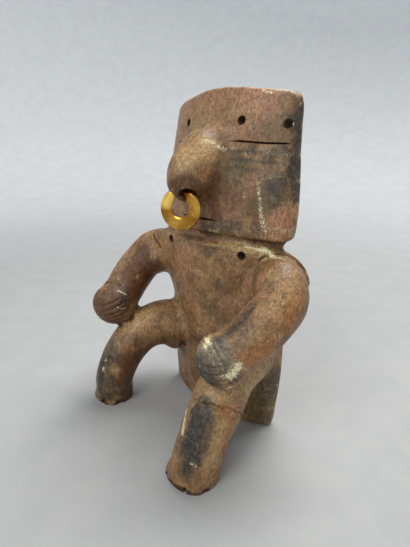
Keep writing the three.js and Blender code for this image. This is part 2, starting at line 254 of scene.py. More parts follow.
# Stops of (x, y, z, radius) down each limb. The arm is the figure's left one and the other mirrors it.
# The domes say how far a limb's two ends bulge, as shares of the radius
limbs = {
    "arm": [(61, -5, 126, 17), (69.5, -11.5, 126, 18), (77, -19.5, 117, 17.6),
            (75, -36, 104.5, 17.6), (69.5, -51, 92.5, 16.8), (65.2, -62, 86.8, 18.4)],
    "armRoot": [(48, -2, 128, 9), (53, -7.5, 122, 11), (57, -13, 116, 11)],
    "rightArmRoot": [(-49, -11, 125, 11.5), (-57, -14, 123, 14), (-66, -17, 120, 16)],
    "leftLeg": [(33, -9, 61, 20), (38, -12, 64, 21), (48.5, -20, 68.5, 20.4),
                (52.8, -41, 62.5, 18.4), (56.6, -58.5, 46.5, 18.2), (56.7, -70, 27, 17.6),
                (55.2, -75.5, 9, 17.6), (54.6, -76, -4, 17.6)],
    "rightLeg": [(-32, -9, 57, 20), (-37, -13, 60.5, 21), (-46, -23, 65, 20.4),
                 (-53.3, -42.7, 60, 18.2), (-57.8, -59.5, 43, 17.2), (-61, -68, 23, 16.4),
                 (-65, -66.5, 8, 16.3), (-66, -66, -4, 16.3)],
    "armDomes": (0.3, 0.88),
    "legDomes": (0.15, 0.02),
}

# Each foot: middle, half sizes, height, and the notches between its toes
feet = {
    "left": {"x": 53.5, "y": -77.8, "halfWidth": 19, "halfLength": 15.5, "height": 14,
             "notches": [(43, -92.3, 1.5), (62.5, -92.6, 1.8), (72.2, -83, 1.4)]},
    "right": {"x": -66.6, "y": -68.2, "halfWidth": 17, "halfLength": 14.1, "height": 13,
              "notches": [(-76, -80.4, 1.8), (-60.5, -82, 2.2), (-50.4, -71, 1.8)]},
}
footShape = {"squareness": 0.78, "narrowing": 0.45, "topTurn": 1.3, "sunk": 4}


def mirrored(stops):
    # x becomes -x
    return [(-x, y, z, r) for x, y, z, r in stops]


limbSteps = 90      # places along a limb's middle line that lines and distances are read from
armStops = {"left": limbs["arm"], "right": mirrored(limbs["arm"])}
legStops = {"left": limbs["leftLeg"], "right": limbs["rightLeg"]}


def limbFrames(stops, count):
    # evenly spaced middle line with its radius, its direction, and the outward and upper sides across it
    path = splineThrough(stops, count)
    along = np.gradient(path[:, :3], axis=0)
    along /= np.linalg.norm(along, axis=1)[:, None]
    outward = np.array([1.0, 0, 0]) - along * along[:, :1]
    outward /= np.linalg.norm(outward, axis=1)[:, None]
    return path[:, :3], path[:, 3], along, outward, np.cross(along, outward)


def limbSkin(stops, domes, rows=80, around=56):
    # a circle carried along the limb's middle line, its two ends closed by flattened domes
    middle, radius, along, outward, upper = limbFrames(stops, rows)
    domeRings = 8
    turn = np.linspace(0, 1, domeRings + 1)[1:] * np.pi / 2
    lift = np.concatenate([-np.sin(turn[::-1]) * domes[0], np.zeros(rows), np.sin(turn) * domes[1]])
    girth = np.concatenate([np.cos(turn[::-1]), np.ones(rows), np.cos(turn)]) * 0.999 + 0.001
    at = np.concatenate([np.zeros(domeRings, int), np.arange(rows), np.full(domeRings, rows - 1)])
    angle = np.linspace(0, tau, around, endpoint=False)[None, :, None]
    centre = middle[at] + along[at] * (radius[at] * lift)[:, None]
    reach = (radius[at] * girth)[:, None, None]
    across = outward[at][:, None] * np.cos(angle) + upper[at][:, None] * np.sin(angle)
    rings = centre[:, None] + reach * across
    return closedSkin(rings, centre[0], centre[-1])


def limbPath(stops, shares, degrees, count=40):
    # a line on the limb's skin through pairs of (share along, angle round), past share 1 on its end dome
    middle, radius, along, outward, upper = limbFrames(stops, limbSteps)
    length = np.linalg.norm(np.diff(middle, axis=0), axis=1).sum()
    place = np.linspace(0, 1, count)
    share = np.interp(place, np.linspace(0, 1, len(shares)), shares)
    angle = np.radians(np.interp(place, np.linspace(0, 1, len(degrees)), degrees))
    at = np.minimum(np.round(share * (limbSteps - 1)).astype(int), limbSteps - 1)
    beyond = np.maximum(share - 1, 0) * length
    dome = np.sqrt(np.maximum(1 - (beyond / (radius[-1] * limbs["armDomes"][1])) ** 2, 0))
    across = outward[at] * np.cos(angle)[:, None] + upper[at] * np.sin(angle)[:, None]
    return middle[at] + along[at] * beyond[:, None] + across * (radius[at] * dome)[:, None]


def squared(share):
    # a power of the sine or cosine, with its sign, pushes a circle out towards a square
    return np.sign(share) * np.abs(share) ** footShape["squareness"]


def footSkin(foot):
    # a rounded square that narrows upwards like a power of the cosine
    rise = np.linspace(0, 1, 16)[:, None]
    angle = np.linspace(0, tau, 64, endpoint=False)[None, :]
    reach = np.cos(rise * footShape["topTurn"]) ** footShape["narrowing"]
    rings = np.stack([foot["x"] + foot["halfWidth"] * reach * squared(np.sin(angle)),
                      foot["y"] - foot["halfLength"] * reach * squared(np.cos(angle)),
                      foot["height"] * rise + 0 * angle], -1)
    rings = np.concatenate([rings[:1] - [0, 0, footShape["sunk"]], rings])
    return centred(rings)


# Down the ridge of the nose: half width, front and height
nose = {
    "ridge": [(6, -17.5, 231), (16, -27.5, 223.5), (20.5, -38, 214.5), (21.5, -44.8, 206), (21, -48.4, 197),
              (19.5, -48.8, 188.5), (15.5, -46.5, 184), (10.5, -42, 179.5), (5, -33, 175)],
    "rootDepth": 4,         # how far behind the face the nose's middle lies
    "backReach": 6,
    "nostrilPlaces": [(8.3, -40.5, 182.4), (-8.3, -41, 181.6)],
    "nostrilSize": (6.4, 7.2, 6.6),
}

ring = {
    "centre": (-0.3, -39.9, 172.2),
    "outerRadius": 15.5,
    "innerRadius": 6.4,
    "holeLift": 1,          # the band is broader below than above
    "thickness": 3.4,
    "turn": np.radians(27),
    "wireRadius": 1.15,
    "wireOrbit": 12.3,
    "slit": np.radians(3),
    "growth": (0.18, 0.72),     # angle from the top over which the wire widens to the band
    # painted reflection and shade: how bright the gold is painted, by the share of a turn from the top
    # towards the figure's left
    "paintedLight": [(0, 0), (0.07, 0.05), (0.13, 0.4), (0.2, 0.35), (0.32, 0.2), (0.5, 0.35), (0.6, 0.4),
               (0.67, 0.15), (0.73, 0), (0.77, 0.6), (0.81, 1), (0.95, 1), (1, 0.6)],
}


def noseStations(count):
    # the ridge's half width, front and height at even steps
    return splineThrough([(w, y, z) for w, y, z in nose["ridge"]], count)


def noseSkin(rows=60, around=56):
    # half ellipses carried down the ridge: as deep as the ridge stands off the face
    halfWidth, tip, z = noseStations(rows)[::-1].T[:, :, None]
    angle = np.linspace(0, tau, around, endpoint=False)[None, :]
    middle = headFront(0, z) + nose["rootDepth"]
    reach = np.where(np.cos(angle) > 0, middle - tip, nose["backReach"])
    rings = np.stack([halfWidth * np.sin(angle), middle - reach * np.cos(angle), z + 0 * angle], -1)
    return centred(rings)


def meshObject(name, vertices, faces):
    # millimetres become metres
    mesh = bpy.data.meshes.new(name)
    mesh.from_pydata((np.asarray(vertices) * mm).tolist(), [], faces)
    piece = bpy.data.objects.new(name, mesh)
    bpy.context.scene.collection.objects.link(piece)
    return piece


def joinedSkins(skins):
    # several skins in one list, each skin's corners counted on from the last one's
    vertices, faces, start = [], [], 0
    for points, cells in skins:
        vertices.append(points)
        faces += [[corner + start for corner in cell] for cell in cells]
        start += len(points)
    return np.vstack(vertices), faces


def bakedMesh(piece):
    # the piece's mesh with its modifiers applied, in place of the plain one
    graph = bpy.context.evaluated_depsgraph_get()
    mesh = bpy.data.meshes.new_from_object(piece.evaluated_get(graph))
    piece.modifiers.clear()
    piece.data = mesh
    return mesh


def coordinates(mesh):
    # every vertex in mm
    flat = np.zeros(len(mesh.vertices) * 3)
    mesh.vertices.foreach_get("co", flat)
    return flat.reshape(-1, 3) / mm


def setCoordinates(mesh, points):
    # puts every vertex at its place in mm
    mesh.vertices.foreach_set("co", (points * mm).ravel())
    mesh.update()


def normals(mesh):
    # every vertex's outward direction
    flat = np.zeros(len(mesh.vertices) * 3, np.float32)
    mesh.vertex_normals.foreach_get("vector", flat)
    return flat.reshape(-1, 3).astype(float)


def edgesOf(mesh):
    # every edge's two vertices
    flat = np.zeros(len(mesh.edges) * 2, np.int32)
    mesh.edges.foreach_get("vertices", flat)
    return flat.reshape(-1, 2)


def vertexAreas(mesh):
    # each face's area shared equally among its corners, in square millimetres
    area = np.zeros(len(mesh.polygons))
    size = np.zeros(len(mesh.polygons), np.int32)
    corner = np.zeros(len(mesh.loops), np.int32)
    mesh.polygons.foreach_get("area", area)
    mesh.polygons.foreach_get("loop_total", size)
    mesh.loops.foreach_get("vertex_index", corner)
    return np.bincount(corner, np.repeat(area / size, size), len(mesh.vertices)) / mm**2


def neighbourMean(values, edges):
    # mean of each vertex's neighbours, column by column
    a, b = edges.T
    count = np.maximum(np.bincount(edges.ravel(), minlength=len(values)), 1)
    columns = [np.bincount(a, column[b], len(values)) + np.bincount(b, column[a], len(values))
               for column in values.T]
    return np.stack(columns, 1) / count[:, None]


def relax(points, edges, weight, rounds):
    # moves each vertex towards its neighbours' mean by its weight
    for _ in range(rounds):
        points = points + weight[:, None] * (neighbourMean(points, edges) - points) * 0.6
    return points


def distanceTo(points, path, reach):
    # least distance from each point to the path's straight pieces, left at 99 beyond the reach
    path = np.asarray(path, float)
    distance = np.full(len(points), 99.0)
    near = ((points > path.min(0) - reach) & (points < path.max(0) + reach)).all(1)
    step = np.diff(path, axis=0)
    away = points[near][:, None] - path[:-1]
    share = np.clip((away * step).sum(2) / np.maximum((step**2).sum(1), 1e-9), 0, 1)
    distance[near] = np.linalg.norm(away - share[..., None] * step, axis=2).min(1)
    return distance


def ontoSkin(path, points, facing):
    # slides each stop of the path along the nearest vertex's normal until it lies on the skin
    square = (path**2).sum(1)[:, None] + (points**2).sum(1)[None] - 2 * path @ points.T
    near = square.argmin(1)
    off = ((path - points[near]) * facing[near]).sum(1)
    return path - facing[near] * off[:, None]


def limbPlace(points, stops):
    # for every point: its share along the limb, its distance from the limb's surface, its angle round it
    middle, radius, along, outward, upper = limbFrames(stops, limbSteps)
    square = (points**2).sum(1)[:, None] + (middle**2).sum(1)[None] - 2 * points @ middle.T
    near = square.argmin(1)
    away = points - middle[near]
    length = np.linalg.norm(np.diff(middle, axis=0), axis=1).sum()
    onward = (away * along[near]).sum(1)
    across = away - along[near] * onward[:, None]
    share = near / (limbSteps - 1) + onward / length
    gap = np.linalg.norm(across, axis=1) - radius[near]
    angle = np.arctan2((away * upper[near]).sum(1), (away * outward[near]).sum(1))
    return share, gap, angle


def nosePlace(points):
    # how far each point is outside the nose's half ellipse at its height
    stations = noseStations(80)[::-1]
    halfWidth, tip = (np.interp(points[:, 2], stations[:, 2], stations[:, k]) for k in (0, 1))
    middle = headFront(0, points[:, 2]) + nose["rootDepth"]
    ratio = np.hypot(points[:, 0] / halfWidth, (points[:, 1] - middle) / np.maximum(middle - tip, 1))
    gap = (ratio - 1) * np.minimum(halfWidth, middle - tip)
    beyond = np.maximum(stations[0, 2] - points[:, 2], points[:, 2] - stations[-1, 2])
    return np.maximum(gap, beyond)


# How the clay was joined and worked over by hand
skin = {
    "voxel": 1.76,          # grid that the surfaces are fused on, in mm
    "jointSoftness": 7,     # how far a limb's clay is smeared into the slab
    "jointRounds": 17,
    "noseSoftness": 13,     # the nose runs out into the cheeks further than a limb does
    "noseRounds": 45,
    "noseHeights": (172, 180),      # the smoothing sets in between these heights
    "evenWeight": 0.7,
    "evenRounds": 2,
    "unevenness": 0.28,     # depth of dents and swells
    "dentLayers": [(24, 1), (10, 0.55), (4, 0.25), (2.2, 0.12)],    # their sizes in mm and shares
    "dentBias": 1.2,        # the skin is pressed in more than it swells
    "burnishFacets": 0.07,  # depth of the flats that the burnishing stone left
    "facetLayers": [((4, 4, 30), 1), ((9, 9, 5), 0.7)],
    # hands, toes and nose tip, where the mesh is halved too: middle and radius
    "fineBalls": [(65, -69, 86, 21), (-65, -69, 86, 21), (56, -88, 4, 19), (-66, -77, 4, 17),
                  (0, -42, 190, 19)],
    "fineMargins": (2.6, 1.3),      # how far round a line the mesh is halved, and halved again
    "limbGirth": 17,        # the burnishing runs along a limb, laid out flat at this radius and length
    "limbLength": 80,
}


def fusedBody():
    # all skins fused on a grid, then smoothed at the joints, round the nose and a little everywhere
    skins = [torsoSkin(), neckSkin(), headSkin(), noseSkin(), limbSkin(limbs["armRoot"], limbs["armDomes"]),
             limbSkin(limbs["rightArmRoot"], limbs["armDomes"])]
    for side in ("left", "right"):
        skins.append(limbSkin(armStops[side], limbs["armDomes"]))
        skins.append(limbSkin(legStops[side], limbs["legDomes"]))
        skins.append(footSkin(feet[side]))
    piece = meshObject("clay_body", *joinedSkins(skins))
    remesh = piece.modifiers.new("fuse", "REMESH")
    remesh.mode = "VOXEL"
    remesh.voxel_size = skin["voxel"] * mm
    mesh = bakedMesh(piece)
    points, edges = coordinates(mesh), edgesOf(mesh)
    points = relax(points, edges, jointWeight(points), skin["jointRounds"])
    points = relax(points, edges, noseWeight(points), skin["noseRounds"])
    points = relax(points, edges, np.full(len(points), skin["evenWeight"]), skin["evenRounds"])
    setCoordinates(mesh, points)
    return piece


def jointWeight(points):
    # 1 where a limb's surface crosses the slab's, falling to 0 over the joint softness
    torsoGap = np.abs(torsoFront(points[:, 0], points[:, 2]) - points[:, 1])
    soft = np.zeros(len(points))
    for stops in (*legStops.values(), *armStops.values()):
        share, gap, _ = limbPlace(points, stops)
        near = np.maximum(torsoGap, np.abs(gap))
        soft = np.maximum(soft, smoothStep(skin["jointSoftness"], 1, near) * (share < 0.5))
    return soft


def noseWeight(points):
    # 1 where the nose meets the face, falling to 0 over the nose's own softness
    headGap = np.abs(headFront(points[:, 0], points[:, 2]) - points[:, 1])
    near = np.maximum(headGap, np.abs(nosePlace(points)))
    return smoothStep(skin["noseSoftness"], 2, near) * smoothStep(*skin["noseHeights"], points[:, 2])


def refine(mesh, near):
    # halves every edge with both ends inside the mask
    edges = edgesOf(mesh)
    mesh.edges.foreach_set("select", near[edges].all(1))
    graph = bmesh.new()
    graph.from_mesh(mesh)
    picked = [edge for edge in graph.edges if edge.select]
    bmesh.ops.subdivide_edges(graph, edges=picked, cuts=1, use_grid_fill=True)
    graph.to_mesh(mesh)
    graph.free()


# Lines pressed or left in the clay. A negative depth is a ridge. Widths and depths are in mm. The last number
# darkens the line: painted shade and dirt
seams = {
    "shoulder": {"left": [(50, -10, 138.5), (52.5, -7.4, 141), (56, -4, 141.6), (60, 0, 141.4),
                          (64.5, 5.5, 140), (68, 10, 136), (70.6, 15, 131)],
                 "right": [(-67, -6, 140), (-65.5, -13, 140), (-62.7, -18.5, 138.8), (-58.5, -19.5, 136.8),
                           (-54.7, -20.2, 134.9), (-50, -20.8, 132)]},
    "collar": [(-6, 144.2), (12, 144), (30, 143.4), (50, 142.2)],
    "knee": [0.549, 0.545, 0.536, 0.53, 0.533, 0.535],
    "kneeAngles": [88, 70, 45, 20, -5, -34],
    "wristShares": {"left": [1.0, 1.02, 1.03, 1.0], "right": [0.87, 0.855, 0.84, 0.85]},
    "wristAngles": [125, 70, 25, -15],
    "wristLines": [(-0.045, 0.7, 0.6, 0.5), (-0.022, 0.8, -0.5, 0), (0, 0.6, 0.7, 0.6), (0.022, 0.8, -0.5, 0),
                   (0.045, 0.7, 0.6, 0.6)],     # shift along the limb, width, depth, painted shade and dirt
    "fingerOffsets": [-8, -3.4, 1.2, 5.8, 10.4],
    "tipAngles": [-140, -118, -96, -74, -52],
    "tipShares": [0.99, 1.13],
    "shoulderLip": (0.4, -1.6, -0.9),       # from the seam to the ridge beside it
    "kneeLip": (0, -0.7, -1.1),
    "kneeWaver": 0.35,
    # width, depth, and painted shade and dirt of the other lines
    "shoulderLine": (0.7, 1.5, 1),
    "shoulderRidge": (1.2, -0.6, 0),
    "fingerLine": (0.75, 0.75, 0.7),
    "tipLine": (1, 1.3, 0.9),
    "collarLine": (0.5, 0.4, 0.5),
    "kneeLine": (0.4, 0.7, 1),
    "kneeRidge": (0.8, -0.35, 0),
}


def fingerPath(stops, offset):
    # a level line over the hand's dome, at a fixed offset towards its upper side
    middle, radius, along, outward, upper = limbFrames(stops, limbSteps)
    reach = radius[-1]
    aside = np.linspace(-1, 1, 40)[:, None] * np.sqrt(reach**2 - offset**2) * 0.97
    forward = np.sqrt(np.maximum(reach**2 - offset**2 - aside**2, 0)) * limbs["armDomes"][1]
    return middle[-1] + upper[-1] * offset + outward[-1] * aside + along[-1] * forward


def seamLines():
    # every line as (path, width, depth, painted shade and dirt)
    lines = []
    for side, sign in (("left", 1), ("right", -1)):
        shoulder = splineThrough(seams["shoulder"][side], 50)
        lipX, lipY, lipZ = seams["shoulderLip"]
        lines.append((shoulder, *seams["shoulderLine"]))
        lines.append((shoulder + [sign * lipX, lipY, lipZ], *seams["shoulderRidge"]))
        shares, angles = seams["wristShares"][side], seams["wristAngles"]
        angles = angles if side == "left" else [180 - angle for angle in angles]
        for shift, *line in seams["wristLines"]:
            lines.append((limbPath(armStops[side], np.array(shares) + shift, angles), *line))
        for offset in seams["fingerOffsets"]:
            lines.append((fingerPath(armStops[side], offset), *seams["fingerLine"]))
        for angle in seams["tipAngles"]:
            tip = limbPath(armStops[side], seams["tipShares"], [angle, angle], 12)
            lines.append((tip, *seams["tipLine"]))
    collarX, collarZ = np.array(seams["collar"]).T
    x = np.linspace(collarX[0], collarX[-1], 60)
    z = np.interp(x, collarX, collarZ)
    lines.append((np.stack([x, torsoFront(x, z), z], 1), *seams["collarLine"]))
    crack = limbPath(legStops["left"], seams["knee"], seams["kneeAngles"], 50)
    crack += np.random.default_rng(5).uniform(-seams["kneeWaver"], seams["kneeWaver"], crack.shape)
    lines.append((crack, *seams["kneeLine"]))
    lines.append((crack + seams["kneeLip"], *seams["kneeRidge"]))
    return lines


def work(piece):
    # refines the mesh round the lines and in the fine places, then moves each vertex along its normal by
    # -depth exp(-(distance / width)^2) for every line, and by the noise of dents and flats
    mesh = piece.data
    points, facing = coordinates(mesh), normals(mesh)
    lines = [(ontoSkin(path, points, facing), width, depth, shadeAndDirt) for path, width, depth, shadeAndDirt in seamLines()]
    for fineness, margin in enumerate(skin["fineMargins"]):
        points = coordinates(mesh)
        near = np.zeros(len(points), bool)
        for path, width, depth, shadeAndDirt in lines:
            near |= distanceTo(points, path, 5) < margin + width
        if fineness == 0:
            for x, y, z, reach in skin["fineBalls"]:
                near |= np.linalg.norm(points - [x, y, z], axis=1) < reach
        refine(mesh, near)
        points = coordinates(mesh)
        setCoordinates(mesh, relax(points, edgesOf(mesh), np.full(len(points), 0.5), 1))
    points, facing = coordinates(mesh), normals(mesh)
    push = np.zeros(len(points))
    for path, width, depth, shadeAndDirt in lines:
        push -= depth * np.exp(-((distanceTo(points, path, 5) / width) ** 2))
    push += (layeredNoise(points, skin["dentLayers"], 1) - skin["dentBias"]) * skin["unevenness"]
    push += layeredNoise(points, skin["facetLayers"], 6) * skin["burnishFacets"]
    setCoordinates(mesh, points + facing * push[:, None])
    return lines


def cut(piece, skins):
    # takes what the skins enclose off the piece
    tool = meshObject("tool", *joinedSkins(skins))
    boolean = piece.modifiers.new("cut", "BOOLEAN")
    boolean.operation = "DIFFERENCE"
    boolean.solver = "MANIFOLD"
    boolean.object = tool
    bakedMesh(piece)
    bpy.data.objects.remove(tool)


# Holes pierced through the slab, and the slits of eyes and mouth
cuts = {
    "headHoles": [(-57, 229.3), (-27.5, 232), (27.5, 232), (57, 229.3)],
    "chestHoles": [(-31.5, 143.6), (38.9, 141.8)],
    "holeRadius": 2.9,
    "holeSlant": {"head": 0.15, "chest": 0.45},  # share of the surface's own turn that a hole follows
    "nearEye": (22, 62.8, 219.8, 0.05),
    "farEye": (-42, -25, 219.8, 0.05),
    "mouth": (-20, 20, 164.5, 0),
    "slitHeight": 1.5,
    "slitDepth": 2.8,
    "slitInset": 0.6,
    "slitTaper": (0.2, 5),      # share of the full size at each end, and how fast it grows from there
    "slitWaver": 0.18,
    "holeReach": (-14, 36),     # from before the slab to behind it
    "holeStraight": 0.96,
    "holeFlare": 0.16,
    "flareDepth": 1.4,
    "toeNotch": (1.5, 4, 2.6),
    "ringChannel": (13, 2.5, 2.5),
    "ground": (200, 40),        # half width and depth of the block taken off below the figure
}


def piercing(x, z, front, slant):
    # a tube driven through the bowed slab, its radius flared at the mouth by exp(-(depth / flare)^2)
    slope = front(x + 0.5, z) - front(x - 0.5, z)
    depth = np.linspace(*cuts["holeReach"], 28)[:, None]
    flare = cuts["holeFlare"] * np.exp(-(((depth + 0.2) / cuts["flareDepth"]) ** 2))
    width = cuts["holeRadius"] * (cuts["holeStraight"] + flare)
    angle = np.linspace(0, tau, 28, endpoint=False)
    rings = np.stack([width * np.cos(angle), depth + 0 * angle, width * np.sin(angle)], -1)[:, ::-1]
    return centred(turned(rings, np.arctan(slope) * slant) + [x, front(x, z), z])


def slit(start, end, z, fall, front):
    # a flat ellipse carried along the bowed face, thinned towards both ends and wavering a little in height
    share = np.linspace(0, 1, 60)[:, None]
    x = start + (end - start) * share
    least, growth = cuts["slitTaper"]
    taper = np.minimum(1, growth * np.minimum(share, 1 - share) + least)
    height = z - fall * np.abs(x) + cuts["slitWaver"] * np.sin(share * 9 + z)
    angle = np.linspace(0, tau, 12, endpoint=False)
    depth = front(x, z) - cuts["slitInset"] + taper * cuts["slitDepth"] * 1.2 * np.cos(angle)
    rise = taper * cuts["slitHeight"] / 2 * np.sin(angle)
    return centred(np.stack([x + 0 * angle, depth, height + rise], -1))


def bead(centre, size, turn=0):
    # an ellipsoid of three half sizes, turned about the vertical
    rise = np.linspace(-0.5, 0.5, 16)[1:-1, None] * np.pi
    angle = np.linspace(0, tau, 24, endpoint=False)[None]
    x, y = np.cos(rise) * np.cos(angle) * size[0], np.cos(rise) * np.sin(angle) * size[1]
    rings = turned(np.stack([x, y, np.sin(rise) * size[2] + 0 * angle], -1), turn)
    pole = np.array([0, 0, size[2]])
    return closedSkin(rings + centre, centre - pole, centre + pole)


def carve(piece):
    # levels the soles and the seat at the ground, then takes out holes, slits, nostrils and toe notches
    wide, deep = cuts["ground"]
    square = [(-wide, -wide), (wide, -wide), (wide, wide), (-wide, wide)]
    box = np.array([(x, y, z) for z in (-deep, 0) for x, y in square], float)
    boxFaces = [[0, 3, 2, 1], [4, 5, 6, 7], [0, 1, 5, 4], [1, 2, 6, 5], [2, 3, 7, 6], [3, 0, 4, 7]]
    cut(piece, [(box, boxFaces)])
    slant = cuts["holeSlant"]
    holes = [piercing(x, z, headFront, slant["head"]) for x, z in cuts["headHoles"]]
    holes += [piercing(x, z, torsoFront, slant["chest"]) for x, z in cuts["chestHoles"]]
    slits = [slit(*cuts[name], headFront) for name in ("nearEye", "farEye", "mouth")]
    x, y, z = ring["centre"]
    nostrils = [bead(place, nose["nostrilSize"]) for place in nose["nostrilPlaces"]]
    notches = [bead(place, cuts["toeNotch"]) for foot in feet.values() for place in foot["notches"]]
    cut(piece, holes + slits + nostrils + notches)
    cut(piece, [bead((x, y, z + ring["wireOrbit"]), cuts["ringChannel"], ring["turn"])])


def crowding(points, facing, area, reach, cell):
    # how much skin stands just in front of each point, over the median: area binned on a grid, blurred
    # by 1-2-1 passes to the reach, and read off the surface, so hollows are over 1 and edges under 1
    low = points.min(0) - 4 * reach
    shape = np.ceil((points.max(0) + 4 * reach - low) / cell).astype(int)
    index = np.round((points - low) / cell).astype(int)
    grid = np.bincount(np.ravel_multi_index(index.T, shape), area, shape.prod()).reshape(shape)
    for _ in range(round(2 * (reach / cell) ** 2)):
        for axis in range(3):
            grid = (np.roll(grid, 1, axis) + 2 * grid + np.roll(grid, -1, axis)) / 4
    ahead = sampleGrid(grid, (points + facing * reach - low) / cell)
    return ahead / np.median(ahead)
